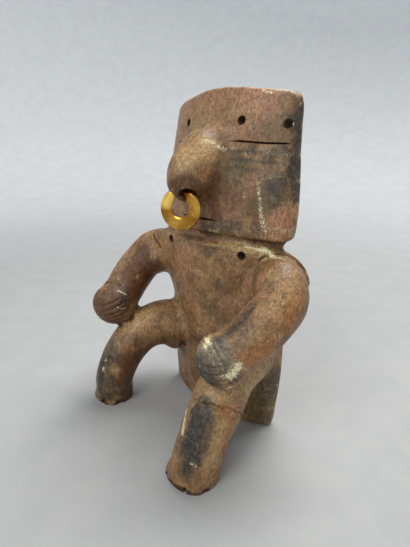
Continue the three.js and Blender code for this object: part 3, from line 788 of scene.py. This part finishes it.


# Stains on the clay, with painted shade and painted highlights among them. Each is a stroke from one place to
# another, with its reach in mm and its strength
stains = {
    "fireCloud": [
        ((57, 12, 247), (58.5, 12, 232), 7, 0.9), ((59.5, 10, 232), (61.5, 9, 206), 8, 1),
        ((61, 8, 206), (61.5, 7, 186), 10, 1), ((60, 9, 212), (46, -3, 209.5), 4.5, 0.7),
        ((62, 6, 196), (54, -1, 190), 9, 0.8), ((60, 3, 180), (52, -2, 178), 6, 0.5),
        ((8, -24, 158), (33, -19, 160), 7, 0.7), ((33, -19, 160), (50, -9, 160), 6, 0.5),
        ((60, -72, 56), (60, -80, 47), 8, 0.8), ((61, -80, 47), (63, -83, 33), 11, 1),
        ((63, -83, 33), (64, -88, 20), 8, 0.9), ((58, -80, 48), (60, -84, 30), 9, 1),
        # the first stroke here darkens the near hand's lower left: fire cloud and painted shade under the
        # hand
        ((60, -82, 84), (52, -70, 74), 8, 0.9), ((73, -42, 121), (68, -66, 105), 5, 0.75),
        ((62, -78, 54), (64, -84, 36), 9, 1), ((80, -53, 110), (74, -66, 101), 6, 0.45),
        ((-57, -80, 42), (-60, -85, 20), 8, 0.9), ((-60, -84, 20), (-62, -83, 5), 8, 0.9),
        ((-53, -74, 52), (-50, -79, 30), 7, 0.8), ((-50, -80, 30), (-52, -82, 8), 8, 0.8),
        # these two strokes along the near hand's underside: fire cloud and painted shade under the hand
        ((62, -84, 88), (72, -83, 80), 7, 0.8), ((56, -80, 77), (74, -80, 73), 6, 0.9),
        ((-55, -58, 98), (-50, -62, 92), 5, 0.7), ((-62, -72, 58), (-58, -80, 42), 6, 0.5),
        ((57, 2, 28), (60, 6, 45), 9, 0.5), ((22, -22, 137), (30, -19, 133), 6, 0.45),
        ((5, -27, 142), (18, -24, 143), 5, 0.4), ((-72, -56, 112), (-69, -40, 122), 6, 0.35),
        ((24, -18, 213), (57, 0, 211), 1.6, 0.75), ((28, -17, 207), (60, 0, 205), 2, 0.75),
        ((24, -17, 201), (50, -6, 200), 1.3, 0.6), ((-30, 8, 60), (-10, 4, 40), 20, 0.8),
        ((38, 12, 110), (44, 12, 128), 14, 0.7), ((-20, 12, 215), (10, 10, 232), 16, 0.8),
        ((-88, -20, 112), (-84, -36, 100), 9, 0.7),
    ],
    "redSlip": [
        ((-45, 0, 236), (40, -4, 246), 18, 0.75), ((10, -15, 225), (28, -12, 228), 10, 0.5),
        ((56, -3, 167), (62, 5, 172), 9, 0.9), ((30, -18, 176), (48, -9, 196), 9, 0.5),
        ((-12, -26, 136), (-22, -23, 118), 12, 0.8), ((48, -14, 123), (40, -19, 104), 7, 0.7),
        ((66, -30, 133), (60, -40, 122), 7, 0.5), ((-9, -23, 96), (5, -24, 84), 8, 0.5),
        ((-40, 12, 180), (20, 4, 160), 18, 0.8),
    ],
    "orangeGlow": [
        ((93, -23, 126), (92, -33, 112), 7, 0.9), ((88, -42, 101), (82, -58, 92), 8, 0.8),
        ((72, -62, 52), (74, -70, 30), 7, 0.9), ((-43, -62, 52), (-46, -70, 25), 7, 0.8),
        ((18, -33, 199), (19, -25, 191), 6, 0.7), ((62, 4, 172), (60, 0, 164), 6, 0.5),
        ((-57, -60, 68), (-40, -50, 66), 8, 0.3), ((28, -19, 128), (36, -17, 122), 7, 0.4),
        ((-40, 14, 110), (-50, 16, 90), 12, 0.6), ((20, 6, 30), (40, 10, 50), 12, 0.5),
    ],
    "buffWash": [
        ((5, -43, 210), (16, -30, 217), 10, 0.8), ((-30, -8, 216), (-10, -16, 222), 12, 0.5),
        ((70, -44, 62), (69, -28, 66), 9, 0.9), ((68, -57, 62), (58, -70, 60), 7, 0.8),
        # the second stroke here, along the torso's top front edge, is a painted highlight
        ((76, -26, 136), (86, -24, 131), 7, 0.3), ((24, -19, 149.5), (66, -8, 144), 4.5, 1.4),
        ((-41, -41, 78), (-52, -58, 70), 9, 0.6), ((74, -69, 46), (74, -76, 24), 7, 0.8),
        ((-20, -16, 236), (30, -14, 238), 14, 0.4), ((40, -16, 118), (30, -20, 100), 8, 0.3),
        ((-70, -46, 118), (-68, -31, 128), 7, 0.4), ((10, 5, 90), (-15, 4, 120), 16, 0.6),
    ],
    "oliveWash": [
        ((57, 5, 40), (54, -2, 15), 16, 0.9), ((85, -48, 100), (80, -60, 104), 10, 0.4),
        ((10, -24, 100), (20, -22, 88), 12, 0.5), ((55, -3, 222), (50, -3, 235), 9, 0.6),
        ((35, -17, 150), (20, -22, 146), 6, 0.5), ((-57, 5, 40), (-54, -2, 15), 16, 0.7),
        ((0, 5, 20), (-30, 8, 25), 14, 0.5), ((26, -18, 196), (50, -8, 186), 17, 0.8),
        ((-90, -30, 112), (-86, -44, 100), 9, 0.6), ((-66, -82, 44), (-70, -80, 12), 9, 0.9),
    ],
    "ashBloom": [
        ((64, -78, 92), (60, -76, 82), 13, 0.9), ((66, -71, 101), (78, -69, 88), 8, 0.9),
        ((-64, -84, 38), (-68, -82, 14), 6, 0.5), ((-70, -50, 116), (-74, -40, 120), 5, 0.4),
    ],
    # painted shade: dark umber on the far arm's inner side, the far hand, the far shin's inner side, under
    # the nose, under the jaw and between the legs; the broad stroke on the lower face is the clay's own
    # darker tone
    "umberShadeAndStain": [
        ((-67, -32, 124), (-60, -44, 113), 9, 1.1), ((-60, -44, 113), (-54, -58, 101), 10, 1.2),
        ((24, -18, 184), (44, -10, 172), 14, 0.5), ((15, -44, 193), (2, -49, 190), 5, 1.1),
        ((-51, -71, 97), (-62, -78, 88), 13, 1.2), ((-42, -65, 44), (-43, -70, 14), 8, 1.2),
        ((-60, -28, 118), (-57, -50, 100), 12, 1.1), ((-55, -62, 96), (-60, -72, 82), 14, 1.05),
        ((-66, -76, 90), (-76, -70, 84), 9, 0.8), ((-42, -60, 48), (-49, -62, 6), 10, 1.1),
        ((14, -36, 186), (4, -44, 182), 8, 1.1), ((20, -26, 192), (17, -24, 176), 7, 1.1),
        ((12, -44, 192), (19, -36, 190), 5, 1), ((16, -26, 178), (20, -24, 168), 6, 1),
        ((-8, -46, 186), (0, -45, 181), 6, 1), ((-30, -22, 60), (-45, -45, 52), 12, 0.6),
        ((2, -26, 152), (50, -8, 153), 3.5, 0.6), ((36, -18, 124), (30, -20, 112), 8, 0.5),
        ((60, -45, 78), (74, -30, 84), 8, 0.6), ((-10, -22, 60), (20, -20, 50), 16, 0.4),
    ],
    "creamCrust": [
        ((59, -70, 103), (63, -72, 101), 4.5, 0.95), ((84, -65, 91), (79, -68, 86), 5.5, 0.95),
        ((66, -74, 101), (79, -73, 91), 1.2, 0.55), ((69, -77, 98), (77, -77, 90), 1, 0.4),
        ((60, -66, 71), (76, -66, 77), 3.5, 0.8), ((12, -27, 218), (21, -17, 212), 3.5, 0.75),
        ((37, -14, 190), (38, -13.5, 172), 1.4, 0.55), ((45, -9, 194), (48, -8, 172), 2, 0.7),
        ((48, -8, 172), (51, -7, 160), 2.6, 0.8), ((33, -16, 189), (33, -16, 176), 1.2, 0.5),
        # the second stroke here, along the torso's top front edge, is a painted highlight
        ((50, -8, 162), (64, 1, 162), 2.2, 0.65), ((40, -15, 149), (54, -11, 148), 1.8, 1),
        ((46, -10, 194), (58, 0, 197), 1.8, 0.5), ((48, -6, 212), (58, 4, 210), 1.6, 0.4),
        ((45, -76, 47), (53, -83, 37), 2.4, 1), ((-56, -79, 44), (-56, -79, 43), 1.8, 1),
        ((-56, -81.5, 36), (-56, -81.5, 34), 2, 0.9), ((39, -0.5, 249.5), (44, 2, 248.5), 1.8, 0.9),
        # the first stroke here, along the torso's top edge near the shoulder, is a painted highlight
        ((52, -10, 148), (66, -7, 143), 3, 1.1), ((-51, -66, 88.6), (-50, -60, 88), 0.9, 0.9),
        ((-56, -62, 101), (-52, -58, 99), 1.8, 0.8), ((-58, -56, 106), (-66, -56, 106.5), 1.5, 0.6),
        ((88, -30, 124), (84, -38, 121), 2.5, 0.4), ((55, -12, 136), (64, -2, 139), 1.2, 0.5),
        ((63, -85, 22), (66, -84, 21), 1.5, 0.8), ((60, 9, 33), (60, 8, 36), 1.2, 0.9),
        ((-20, 10, 200), (-26, 11, 190), 3, 0.7), ((46, 15, 70), (50, 15, 60), 3.5, 0.7),
        ((-50, 15, 130), (-58, 17, 126), 3, 0.6),
    ],
}


def stainMask(points, facing, strokes, seed):
    # strokes are laid on the skin and fade as exp(-(distance / reach)^2), with the places pushed about by
    # noise, and the strongest one wins
    wander = np.stack([latticeNoise(points, 9, seed + k) for k in range(3)], 1)
    mask = np.zeros(len(points))
    for start, end, reach, strength in strokes:
        path = ontoSkin(np.linspace(start, end, 4), points, facing)
        distance = distanceTo(points + wander * min(3.5, reach * 0.5), path, reach * 2.5)
        mask = np.maximum(mask, strength * np.exp(-((distance / reach) ** 2)))
    return mask


def setAttribute(mesh, name, values):
    # one number or one vector for every vertex
    kind = "FLOAT_VECTOR" if values.ndim == 2 else "FLOAT"
    attribute = mesh.attributes.new(name, kind, "POINT")
    attribute.data.foreach_set("vector" if values.ndim == 2 else "value", values.astype(np.float32).ravel())


# Where hollows get painted shade and dirt, and edges get wear and painted highlight: reach and grid cell in
# mm, and the crowding at which each sets in
hollowsAndEdges = {
    "close": (2.4, 1.6),
    "broad": (9, 4),
    "closeHollow": (1.2, 2.6),
    "broadHollow": (1.3, 3),
    "broadShare": 0.7,
    "edge": (0.86, 0.55),
}


def stain(piece, lines):
    # writes each mask onto the vertices, and a place that runs along the limbs for the burnishing
    mesh = piece.data
    points, facing, area = coordinates(mesh), normals(mesh), vertexAreas(mesh)
    for seed, (name, strokes) in enumerate(stains.items()):
        setAttribute(mesh, name, stainMask(points, facing, strokes, 20 + 4 * seed))
    close = crowding(points, facing, area, *hollowsAndEdges["close"])
    broad = crowding(points, facing, area, *hollowsAndEdges["broad"])
    # painted shade and dirt: hollows where much skin stands in front are darkened
    hollowShadeAndDirt = np.maximum(smoothStep(*hollowsAndEdges["closeHollow"], close),
                        hollowsAndEdges["broadShare"] * smoothStep(*hollowsAndEdges["broadHollow"], broad))
    setAttribute(mesh, "hollowShadeAndDirt", hollowShadeAndDirt)
    # edges standing clear are lighter: wear and painted highlight on the rims
    setAttribute(mesh, "wornAndLitEdge", smoothStep(*hollowsAndEdges["edge"], close))
    # painted shade and dirt along the pressed lines
    lineDarkening = np.zeros(len(points))
    for path, width, depth, shadeAndDirt in lines:
        if shadeAndDirt:
            lineDarkening = np.maximum(lineDarkening, shadeAndDirt * np.exp(-((distanceTo(points, path, 4) / width) ** 2)))
    setAttribute(mesh, "lineShadeAndDirt", lineDarkening)
    runs = np.stack([points[:, 0], points[:, 2], points[:, 1]], 1)
    for stops in (*armStops.values(), *legStops.values()):
        share, gap, angle = limbPlace(points, stops)
        own = (np.abs(gap) < 3) & (share > 0.25)
        runs[own] = np.stack([angle * skin["limbGirth"], share * skin["limbLength"], gap], 1)[own]
    setAttribute(mesh, "burnishRun", runs * mm)


def noseRing():
    # an elliptical section carried round a circle, broad as a band and narrowing at the top to two wires
    rows, around = 160, 40
    fromTop = np.linspace(ring["slit"], tau - ring["slit"], rows)
    nearTop = np.minimum(fromTop, tau - fromTop)
    grown = smoothStep(*ring["growth"], nearTop)
    inner = ring["innerRadius"] + ring["holeLift"] * np.cos(fromTop)
    halfBand = ring["wireRadius"] + ((ring["outerRadius"] - inner) / 2 - ring["wireRadius"]) * grown
    halfThick = ring["wireRadius"] + (ring["thickness"] / 2 - ring["wireRadius"]) * grown
    orbit = ring["wireOrbit"] + ((ring["outerRadius"] + inner) / 2 - ring["wireOrbit"]) * grown
    angle = np.linspace(0, tau, around, endpoint=False)
    radius = orbit[:, None] + halfBand[:, None] * np.sin(angle)
    thick = halfThick[:, None] * np.cos(angle)
    upright = np.stack([radius * np.sin(fromTop)[:, None], thick, radius * np.cos(fromTop)[:, None]], -1)
    rings = turned(upright, ring["turn"]) + ring["centre"]
    piece = meshObject("gold_ring", *centred(rings))
    # painted reflection and shade along the ring, dark at the top under the nose
    paintedLight = np.interp(fromTop / tau, *np.array(ring["paintedLight"]).T)
    setAttribute(piece.data, "paintedLight", np.concatenate([np.repeat(paintedLight, around), paintedLight[[0, -1]]]))
    return piece


body = fusedBody()
print("clay fused: %d faces" % len(body.data.polygons))
pressedLines = work(body)
print("lines pressed: %d faces" % len(body.data.polygons))
carve(body)
stain(body, pressedLines)
print("clay carved and stained: %d faces, %d triangles"
      % (len(body.data.polygons), sum(len(face.vertices) - 2 for face in body.data.polygons)))
band = noseRing()
for piece, slot, node in ((body, "fired_clay", "clay_figure"), (band, "gilt_metal", "nose_ring")):
    piece.data.polygons.foreach_set("use_smooth", np.ones(len(piece.data.polygons), bool))
    piece.data.set_sharp_from_angle(angle=np.radians(48))
    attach(piece, "root")
    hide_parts(node)


# Shader helpers: sizes are in mm, colours as the eye sees them from 0 to 255
def seen(red, green, blue):
    # the shader's linear colour
    share = np.array([red, green, blue]) / 255
    linear = np.where(share < 0.04045, share / 12.92, ((share + 0.055) / 1.055) ** 2.4)
    return (*linear.tolist(), 1)


def wire(tree, kind, sockets, **settings):
    # adds a node, sets its properties, and links or fills its sockets by name or number
    node = tree.nodes.new(kind)
    for key, value in settings.items():
        setattr(node, key, value)
    for key, value in sockets.items():
        if isinstance(value, bpy.types.NodeSocket):
            tree.links.new(value, node.inputs[key])
        else:
            node.inputs[key].default_value = value
    return node.outputs


def placed(tree, group, sockets):
    # a node group set into the material
    return wire(tree, "ShaderNodeGroup", sockets, node_tree=group)


def stretched(tree, place, factors):
    # place x factors, axis by axis
    return wire(tree, "ShaderNodeVectorMath", {0: place, 1: factors}, operation="MULTIPLY")[0]


def noiseOf(tree, place, size, detail=2, roughness=0.55):
    # noise with blobs of the given size in mm along each axis
    scaled = stretched(tree, place, [1 / (side * mm) for side in size])
    return wire(tree, "ShaderNodeTexNoise", {"Vector": scaled, "Scale": 1, "Detail": detail,
                                             "Roughness": roughness})[0]


def stepOf(tree, value, low, high, start=0, end=1):
    # the smooth step from start at low to end at high
    sockets = {"Value": value, "From Min": low, "From Max": high, "To Min": start, "To Max": end}
    return wire(tree, "ShaderNodeMapRange", sockets, interpolation_type="SMOOTHSTEP")[0]


def mathOf(tree, operation, first, second):
    # one sum of two numbers
    return wire(tree, "ShaderNodeMath", {0: first, 1: second}, operation=operation)[0]


def plus(tree, first, second):
    # first + second
    return mathOf(tree, "ADD", first, second)


def times(tree, first, second):
    # first x second
    return mathOf(tree, "MULTIPLY", first, second)


def roughened(tree, value, noise, amount):
    # value + amount (noise - 1/2)
    return plus(tree, value, times(tree, mathOf(tree, "SUBTRACT", noise, 0.5), amount))


def mixOf(tree, share, first, second, blend="MIX"):
    # first + share (second - first), or another way of blending
    return wire(tree, "ShaderNodeMix", {0: share, 6: first, 7: second}, data_type="RGBA", blend_type=blend)[2]


def attributeOf(tree, name, output="Fac"):
    # what was written on the mesh's vertices
    return wire(tree, "ShaderNodeAttribute", {}, attribute_name=name)[output]


def nodeGroup(name, takes, gives):
    # an empty group with its named sockets: (label, kind, starting value)
    group = bpy.data.node_groups.new(name, "ShaderNodeTree")
    for label, kind, value in takes:
        socket = group.interface.new_socket(label, in_out="INPUT", socket_type="NodeSocket" + kind)
        if value is not None:
            socket.default_value = value
    for label, kind in gives:
        group.interface.new_socket(label, in_out="OUTPUT", socket_type="NodeSocket" + kind)
    source = group.nodes.new("NodeGroupInput").outputs
    sink = group.nodes.new("NodeGroupOutput").inputs
    return group, source, sink


def makeGrainGroup():
    # speckle: fine light and dark grains; mottle: soft cloudy change; both from 0 to 1
    takes = [("Place", "Vector", None), ("Grain per metre", "Float", 1000.0)]
    group, source, sink = nodeGroup("surface_grain", takes, [("Speckle", "Float"), ("Mottle", "Float")])
    fine = wire(group, "ShaderNodeTexNoise", {"Vector": source["Place"], "Scale": source["Grain per metre"],
                                              "Detail": 3, "Roughness": 0.7})[0]
    coarse = times(group, source["Grain per metre"], 0.11)
    cloudy = wire(group, "ShaderNodeTexNoise", {"Vector": source["Place"], "Scale": coarse, "Detail": 4,
                                                "Roughness": 0.6})[0]
    group.links.new(stepOf(group, fine, 0.3, 0.7), sink["Speckle"])
    group.links.new(stepOf(group, cloudy, 0.32, 0.68), sink["Mottle"])
    return group


def makeScratchGroup():
    # thin lines where stretched noise passes through its middle value
    takes = [("Place", "Vector", None), ("Stretch", "Vector", (900, 900, 60)), ("Share", "Float", 0.5)]
    group, source, sink = nodeGroup("fine_scratches", takes, [("Lines", "Float")])
    scaled = stretched(group, source["Place"], source["Stretch"])
    grain = wire(group, "ShaderNodeTexNoise", {"Vector": scaled, "Scale": 1, "Detail": 1.5,
                                               "Distortion": 0.3})[0]
    off = mathOf(group, "ABSOLUTE", mathOf(group, "SUBTRACT", grain, 0.5), 0)
    lines = stepOf(group, off, 0.035, 0.0)
    patches = wire(group, "ShaderNodeTexNoise", {"Vector": source["Place"], "Scale": 120})[0]
    gated = times(group, lines, stepOf(group, patches, 0.45, 0.6))
    group.links.new(times(group, gated, source["Share"]), sink["Lines"])
    return group


def makeDarkeningGroup():
    # lays a darker colour where the amount beats a broken-up noise: painted shade and dirt in the clay's
    # hollows, tarnish on the gold
    takes = [("Place", "Vector", None), ("Colour", "Color", None), ("Darker", "Color", None),
             ("Amount", "Float", 0.0)]
    group, source, sink = nodeGroup("broken_darkening", takes, [("Colour", "Color"), ("Mask", "Float")])
    broken = wire(group, "ShaderNodeTexNoise", {"Vector": source["Place"], "Scale": 420, "Detail": 3})[0]
    lifted = roughened(group, source["Amount"], broken, 0.7)
    mask = times(group, stepOf(group, lifted, 0.12, 0.75), stepOf(group, source["Amount"], 0.02, 0.2))
    group.links.new(mixOf(group, mask, source["Colour"], source["Darker"]), sink["Colour"])
    group.links.new(mask, sink["Mask"])
    return group


grainGroup, scratchGroup, darkeningGroup = makeGrainGroup(), makeScratchGroup(), makeDarkeningGroup()


def newMaterial(name):
    # a material with its shader and the place on the piece
    material = bpy.data.materials.new(name)
    material.use_nodes = True
    tree = material.node_tree
    place = tree.nodes.new("ShaderNodeTexCoord").outputs["Object"]
    return material, tree, tree.nodes["Principled BSDF"], place


clay = {
    "brown": seen(156, 120, 80),
    "tan": seen(192, 152, 102),
    "blotch": seen(104, 76, 48),
    "red": seen(202, 150, 118),
    "orange": seen(200, 132, 68),
    "buff": seen(212, 180, 126),
    "olive": seen(120, 104, 66),
    # umber: the colour of the painted shade, and of the lower face's darker tone
    "umber": seen(104, 64, 28),
    "soot": seen(38, 42, 39),
    "ash": seen(80, 81, 71),
    "bloom": seen(140, 138, 122),
    # the colour of the painted shade and dirt in hollows
    "shadeAndDirt": seen(64, 38, 18),
    # the near-black colour of the painted shade and dirt in pressed lines
    "lineShadeTone": seen(22, 13, 8),
    # edge: the lighter tone of the worn rims with their painted highlight
    "edge": seen(214, 186, 140),
    "cream": seen(238, 226, 182),
    "roughness": (0.36, 0.6),
    "crustRoughness": 0.3,
    # wash, its colour and how much of it covers the clay; the umber one is mostly painted shade
    "washes": (("oliveWash", "olive", 0.85), ("redSlip", "red", 0.85), ("orangeGlow", "orange", 0.6),
               ("buffWash", "buff", 0.9), ("umberShadeAndStain", "umber", 0.85), ("ashBloom", "bloom", 0.85)),
    "fireCover": 0.95,
    # height in mm of each kind of relief
    "strokeRelief": 0.08,
    "speckleRelief": 0.07,
    "brokenRelief": 0.25,
    "crustRelief": 0.18,
    "scratchRelief": 0.05,
    "bump": 0.8,
}


def stainOf(tree, name, broken, low, high):
    # the vertex mask with its border eaten into by noise
    return stepOf(tree, roughened(tree, attributeOf(tree, name), broken, 0.6), low, high)


def clayMaterial():
    # clay tones laid over each other (blotches, washes with painted shade, soot, worn edges with painted
    # highlight, painted shade and dirt in hollows and pressed lines, crust), then the roughness between its
    # two values by patches, and the relief as a sum of heights
    material, tree, shader, place = newMaterial("burnished_clay")
    grain = placed(tree, grainGroup, {"Place": place, "Grain per metre": 900.0})
    cloudy = noiseOf(tree, place, (24, 24, 24), 3)
    patchy = noiseOf(tree, place, (6, 6, 8), 4, 0.65)
    broken = noiseOf(tree, place, (2.6, 2.6, 3.2), 4, 0.7)
    run = attributeOf(tree, "burnishRun", "Vector")
    strokes = noiseOf(tree, run, (0.9, 8, 3), 3, 0.6)
    colour = mixOf(tree, stepOf(tree, cloudy, 0.36, 0.64), clay["brown"], clay["tan"])
    colour = mixOf(tree, stepOf(tree, patchy, 0.48, 0.75, 0, 0.6), colour, clay["blotch"])
    daubs = noiseOf(tree, place, (12, 12, 9), 3, 0.6)
    colour = mixOf(tree, stepOf(tree, daubs, 0.52, 0.68, 0, 0.35), colour, clay["red"])
    colour = mixOf(tree, stepOf(tree, daubs, 0.46, 0.34, 0, 0.5), colour, clay["olive"])
    smudges = noiseOf(tree, place, (8, 8, 15), 3, 0.6)
    colour = mixOf(tree, stepOf(tree, smudges, 0.56, 0.7, 0, 0.55), colour, clay["ash"])
    for name, tint, most in clay["washes"]:
        share = times(tree, stainOf(tree, name, patchy, 0.1, 0.75), most)
        colour = mixOf(tree, share, colour, clay[tint])
    soot = mixOf(tree, stepOf(tree, broken, 0.42, 0.66), clay["soot"], clay["ash"])
    fire = times(tree, stainOf(tree, "fireCloud", patchy, 0.02, 1), clay["fireCover"])
    colour = mixOf(tree, fire, colour, soot)
    # convex edges lightened: wear and painted highlight
    wornAndLit = times(tree, attributeOf(tree, "wornAndLitEdge"), stepOf(tree, broken, 0.35, 0.6, 0.2, 0.75))
    colour = mixOf(tree, wornAndLit, colour, clay["edge"])
    for mask, dark in ((stepOf(tree, strokes, 0.3, 0.68), seen(224, 220, 214)),
                       (stepOf(tree, broken, 0.34, 0.6), seen(206, 196, 184)),
                       (grain["Speckle"], seen(188, 178, 164))):
        colour = mixOf(tree, 1.0, colour, mixOf(tree, mask, dark, seen(255, 255, 255)), "MULTIPLY")
    # hollows darkened: painted shade and settled dirt
    darkened = placed(tree, darkeningGroup, {"Place": place, "Colour": colour, "Darker": clay["shadeAndDirt"],
                                     "Amount": attributeOf(tree, "hollowShadeAndDirt")})
    # pressed lines darkened: painted shade and dirt
    colour = mixOf(tree, attributeOf(tree, "lineShadeAndDirt"), darkened["Colour"], clay["lineShadeTone"])
    crumb = noiseOf(tree, place, (1.1, 1.1, 1.1), 4, 0.8)
    cream = attributeOf(tree, "creamCrust")
    crust = stepOf(tree, roughened(tree, cream, crumb, 3.2), 0.5, 0.95)
    crust = times(tree, crust, stepOf(tree, cream, 0.05, 0.3))
    flecks = stepOf(tree, noiseOf(tree, place, (1.5, 1.5, 1.5), 2), 0.73, 0.82, 0, 0.5)
    crust = mathOf(tree, "MAXIMUM", crust, flecks)
    colour = mixOf(tree, crust, colour, clay["cream"])
    tree.links.new(colour, shader.inputs["Base Color"])
    low, high = clay["roughness"]
    rough = stepOf(tree, patchy, 0.3, 0.7, low, high)
    chalky = times(tree, mathOf(tree, "MAXIMUM", crust, darkened["Mask"]), clay["crustRoughness"])
    tree.links.new(plus(tree, rough, chalky), shader.inputs["Roughness"])
    scratches = placed(tree, scratchGroup, {"Place": run, "Stretch": (900, 70, 200), "Share": 0.6})
    height = times(tree, strokes, clay["strokeRelief"])
    for raised, relief in ((grain["Speckle"], "speckleRelief"), (broken, "brokenRelief"),
                           (crust, "crustRelief")):
        height = plus(tree, height, times(tree, raised, clay[relief]))
    height = mathOf(tree, "SUBTRACT", height, times(tree, scratches["Lines"], clay["scratchRelief"]))
    bump = wire(tree, "ShaderNodeBump", {"Height": height, "Strength": clay["bump"], "Distance": mm})
    tree.links.new(bump[0], shader.inputs["Normal"])
    return material


gold = {
    "bright": seen(255, 212, 108),
    "deep": seen(146, 88, 22),
    "tarnish": seen(110, 70, 22),
    "roughness": (0.16, 0.34),
    "tarnishRoughness": 0.15,
    "speckleRelief": 0.002,
    "scratchRelief": 0.012,
    "bump": 0.6,
}


def goldMaterial():
    # gold between its deep and bright tone by the painted reflection and shade, with tarnish and fine
    # scratches
    material, tree, shader, place = newMaterial("rubbed_gold")
    grain = placed(tree, grainGroup, {"Place": place, "Grain per metre": 1500.0})
    scratches = placed(tree, scratchGroup, {"Place": place, "Stretch": (1400, 1400, 140), "Share": 0.5})
    # patches of wear that shift the painted light and the roughness
    wornAndLit = stepOf(tree, noiseOf(tree, place, (9, 9, 9), 2), 0.35, 0.65)
    # painted reflection and shade, shifted a little by the patches
    litShare = plus(tree, attributeOf(tree, "paintedLight"), stepOf(tree, wornAndLit, 0, 1, -0.12, 0.12))
    colour = mixOf(tree, litShare, gold["deep"], gold["bright"])
    dull = stepOf(tree, noiseOf(tree, place, (7, 7, 7), 2), 0.6, 0.85, 0, 0.5)
    darkened = placed(tree, darkeningGroup, {"Place": place, "Colour": colour, "Darker": gold["tarnish"],
                                     "Amount": dull})
    tree.links.new(darkened["Colour"], shader.inputs["Base Color"])
    shader.inputs["Metallic"].default_value = 1
    low, high = gold["roughness"]
    tarnished = times(tree, darkened["Mask"], gold["tarnishRoughness"])
    rough = plus(tree, stepOf(tree, wornAndLit, 0, 1, high, low), tarnished)
    tree.links.new(rough, shader.inputs["Roughness"])
    raised = times(tree, grain["Speckle"], gold["speckleRelief"])
    height = mathOf(tree, "SUBTRACT", raised, times(tree, scratches["Lines"], gold["scratchRelief"]))
    bump = wire(tree, "ShaderNodeBump", {"Height": height, "Strength": gold["bump"], "Distance": mm})
    tree.links.new(bump[0], shader.inputs["Normal"])
    return material


# Stage: a round cove of paper, lights and camera
stage = {
    "hubRadius": 10,        # the floor's middle is one flat face of this radius
    "sink": 0.05,           # how far the paper lies under the soles
    "flatRadius": 900,
    "bendRadius": 900,
    "wallHeight": 2300,
    "floorTone": seen(166, 167, 167),
    "wallTone": seen(222, 225, 227),
    "wallGlow": 0.14,
    "wallFrom": (0.4, 1.5),     # metres from the middle over which floor tone turns to wall tone
    "worldTone": (0.62, 0.64, 0.66, 1),
    "worldStrength": 0.29,
    "cameraPlace": (231.92, -228.16, 219),
    "cameraPitch": 17.6,
    "cameraTurn": 47.62,
    "lens": 27.6,
}

lamps = {
    "overhead": {"place": (-40, 420, 1150), "aim": (0, -20, 60), "size": 650, "power": 16.5,
                 "colour": (1, 0.99, 0.97)},
    "front": {"place": (220, -930, 950), "aim": (20, -20, 150), "size": 500, "power": 7.2,
              "colour": (1, 0.99, 0.96)},
}


def paperMaterial():
    # the floor tone turns to the wall tone with the distance from the middle
    material, tree, shader, place = newMaterial("backdrop_paper")
    grain = placed(tree, grainGroup, {"Place": place, "Grain per metre": 260.0})
    away = wire(tree, "ShaderNodeVectorMath", {0: place}, operation="LENGTH")[1]
    rise = stepOf(tree, away, *stage["wallFrom"])
    colour = mixOf(tree, rise, stage["floorTone"], stage["wallTone"])
    mottled = mixOf(tree, grain["Mottle"], seen(248, 248, 249), seen(255, 255, 255))
    colour = mixOf(tree, 1.0, colour, mottled, "MULTIPLY")
    specks = stepOf(tree, noiseOf(tree, place, (2.2, 2.2, 2.2), 1), 0.77, 0.8, 0, 0.5)
    colour = mixOf(tree, specks, colour, seen(150, 146, 138))
    tree.links.new(colour, shader.inputs["Base Color"])
    tree.links.new(stepOf(tree, grain["Speckle"], 0, 1, 0.8, 0.95), shader.inputs["Roughness"])
    tree.links.new(mixOf(tree, rise, seen(0, 0, 0), stage["wallTone"]), shader.inputs["Emission Color"])
    shader.inputs["Emission Strength"].default_value = stage["wallGlow"]
    return material


def cove():
    # a profile turned about the vertical: flat floor, quarter circle, upright wall
    bend = np.linspace(0, np.pi / 2, 24)
    flat, curve = stage["flatRadius"], stage["bendRadius"]
    floorRadii = np.linspace(stage["hubRadius"], flat, 12)[:-1]
    radius = np.concatenate([floorRadii, flat + curve * np.sin(bend), [flat + curve]])[:, None]
    height = np.concatenate([0 * floorRadii, curve * (1 - np.cos(bend)), [stage["wallHeight"]]])[:, None]
    angle = np.linspace(0, tau, 128, endpoint=False)
    rings = np.stack([radius * np.cos(angle), radius * np.sin(angle), height - stage["sink"] + 0 * angle], -1)
    quads = gridQuads(*rings.shape[:2])[:, ::-1].tolist()
    floor = meshObject("cove", rings.reshape(-1, 3), quads + [list(range(len(angle)))])
    floor.data.polygons.foreach_set("use_smooth", np.ones(len(floor.data.polygons), bool))
    floor.data.materials.append(paperMaterial())


def areaLight(name, lamp):
    # a square lamp at its place, turned towards its aim
    light = bpy.data.lights.new(name, "AREA")
    light.size = lamp["size"] * mm
    light.energy = lamp["power"]
    light.color = lamp["colour"]
    holder = bpy.data.objects.new(name, light)
    bpy.context.scene.collection.objects.link(holder)
    holder.location = np.array(lamp["place"]) * mm
    direction = np.array(lamp["aim"]) - np.array(lamp["place"])
    holder.rotation_euler = Vector(direction).to_track_quat("-Z", "Y").to_euler()


body.data.materials.clear()
body.data.materials.append(clayMaterial())
band.data.materials.append(goldMaterial())
print("materials made")

cove()
for name, lamp in lamps.items():
    areaLight(name, lamp)
world = bpy.data.worlds.new("studio")
bpy.context.scene.world = world
world.use_nodes = True
world.node_tree.nodes["Background"].inputs["Color"].default_value = stage["worldTone"]
world.node_tree.nodes["Background"].inputs["Strength"].default_value = stage["worldStrength"]

camera = bpy.data.objects.new("camera", bpy.data.cameras.new("camera"))
bpy.context.scene.collection.objects.link(camera)
camera.location = np.array(stage["cameraPlace"]) * mm
camera.rotation_euler = np.radians((90 - stage["cameraPitch"], 0, stage["cameraTurn"]))
camera.data.lens = stage["lens"]
camera.data.sensor_width = 36
camera.data.clip_start = 0.01
bpy.context.scene.camera = camera
bpy.context.scene.view_settings.view_transform = "Standard"
print("stage set")
